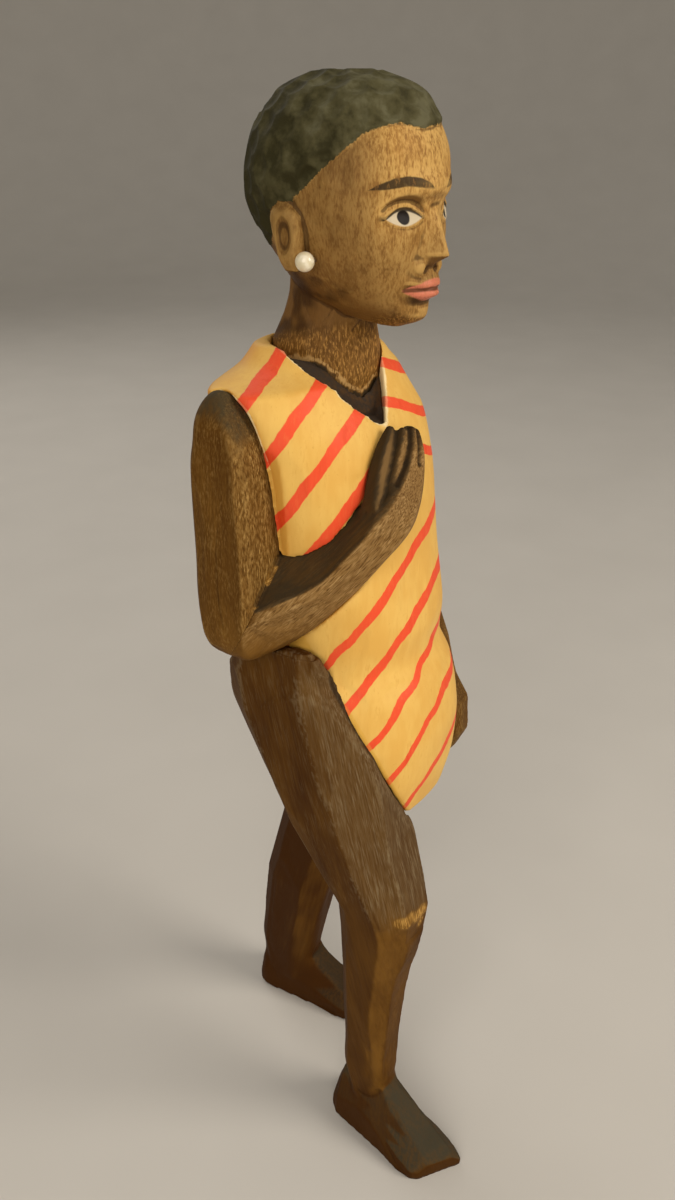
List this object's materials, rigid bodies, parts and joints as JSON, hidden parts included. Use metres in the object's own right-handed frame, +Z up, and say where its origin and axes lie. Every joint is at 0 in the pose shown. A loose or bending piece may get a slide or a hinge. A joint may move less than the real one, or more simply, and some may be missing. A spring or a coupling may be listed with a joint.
{
  "type": "nativity figure",
  "caption": "Knife-carved wooden figure of a walking youth in a striped wrap tunic, one hand on the chest, free-standing on flat soles.",
  "frame": {"origin": "middle of the figure's bounding box, on the floor under its soles", "axes": "+Z up; the figure faces -Y, its right side is -X"},
  "size_m": [0.0864, 0.0982, 0.3],
  "materials": {
    "stained_wood": "dark brown stain over carved wood, rubbed on the edges",
    "stained_wood_face": "brown stain on the face, charcoal paint on the hair",
    "painted_tunic": "ochre paint with diagonal orange-red stripes on wood",
    "bare_wood": "plain dowel rod",
    "pearl": "glossy imitation pearl",
    "steel": "plain steel pin"
  },
  "bodies": {
    "root": {"head": "stained_wood_face", "torso": "painted_tunic", "right_upper_arm": "stained_wood", "right_forearm": "stained_wood", "left_arm": "stained_wood", "right_leg": "stained_wood", "left_leg": "stained_wood", "neck_dowel": "bare_wood", "right_shoulder_dowel": "bare_wood", "left_shoulder_dowel": "bare_wood", "right_elbow_dowel": "bare_wood", "right_hip_dowel": "bare_wood", "left_hip_dowel": "bare_wood", "right_pearl": "pearl", "left_pearl": "pearl", "right_pearl_pin": "steel", "left_pearl_pin": "steel"}
  },
  "joints": []
}
